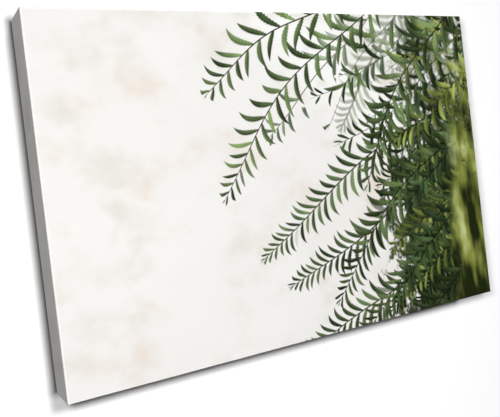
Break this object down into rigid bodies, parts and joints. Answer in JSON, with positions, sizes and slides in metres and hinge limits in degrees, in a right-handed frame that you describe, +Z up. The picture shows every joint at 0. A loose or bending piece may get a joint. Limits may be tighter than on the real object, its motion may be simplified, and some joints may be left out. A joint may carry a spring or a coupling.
{
  "type": "stretched canvas print",
  "caption": "Rectangular printed canvas stretched over a deep mitred wooden frame, turned over and stapled at the back, with a sawtooth hanger on the top bar.",
  "frame": {"origin": "on the wall plane, in the middle notch of the sawtooth hanger, where the wall nail holds the print", "axes": "+X to the right of someone facing the picture, +Y back into the wall, so that the picture faces -Y, and +Z up"},
  "size_m": [0.4572, 0.0472, 0.3048],
  "materials": {
    "printed_canvas": "matt printed cotton canvas, pale with green foliage, raw cotton at the back",
    "pine": "planed, unfinished softwood",
    "key_wood": "sawn, unfinished",
    "staple_wire": "galvanised wire",
    "plated_steel": "stamped and zinc plated"
  },
  "bodies": {
    "root": {"canvas": "printed_canvas", "bar_top": "pine", "bar_right": "pine", "bar_bottom": "pine", "bar_left": "pine", "key_top_right_side": "key_wood", "key_top_right_end": "key_wood", "key_top_left_side": "key_wood", "key_top_left_end": "key_wood", "key_bottom_right_side": "key_wood", "key_bottom_right_end": "key_wood", "key_bottom_left_side": "key_wood", "key_bottom_left_end": "key_wood", "staple_top_right_1": "staple_wire", "staple_top_right_2": "staple_wire", "staple_top_right_3": "staple_wire", "staple_top_right_4": "staple_wire", "staple_top_right_5": "staple_wire", "staple_top_left_1": "staple_wire", "staple_top_left_2": "staple_wire", "staple_top_left_3": "staple_wire", "staple_top_left_4": "staple_wire", "staple_top_left_5": "staple_wire", "staple_bottom_right_1": "staple_wire", "staple_bottom_right_2": "staple_wire", "staple_bottom_right_3": "staple_wire", "staple_bottom_right_4": "staple_wire", "staple_bottom_right_5": "staple_wire", "staple_bottom_left_1": "staple_wire", "staple_bottom_left_2": "staple_wire", "staple_bottom_left_3": "staple_wire", "staple_bottom_left_4": "staple_wire", "staple_bottom_left_5": "staple_wire", "staple_right_1": "staple_wire", "staple_right_2": "staple_wire", "staple_right_3": "staple_wire", "staple_right_4": "staple_wire", "staple_right_5": "staple_wire", "staple_left_1": "staple_wire", "staple_left_2": "staple_wire", "staple_left_3": "staple_wire", "staple_left_4": "staple_wire", "staple_left_5": "staple_wire", "sawtooth_hanger": "plated_steel", "hanger_nail_right": "plated_steel", "hanger_nail_left": "plated_steel"}
  },
  "joints": []
}
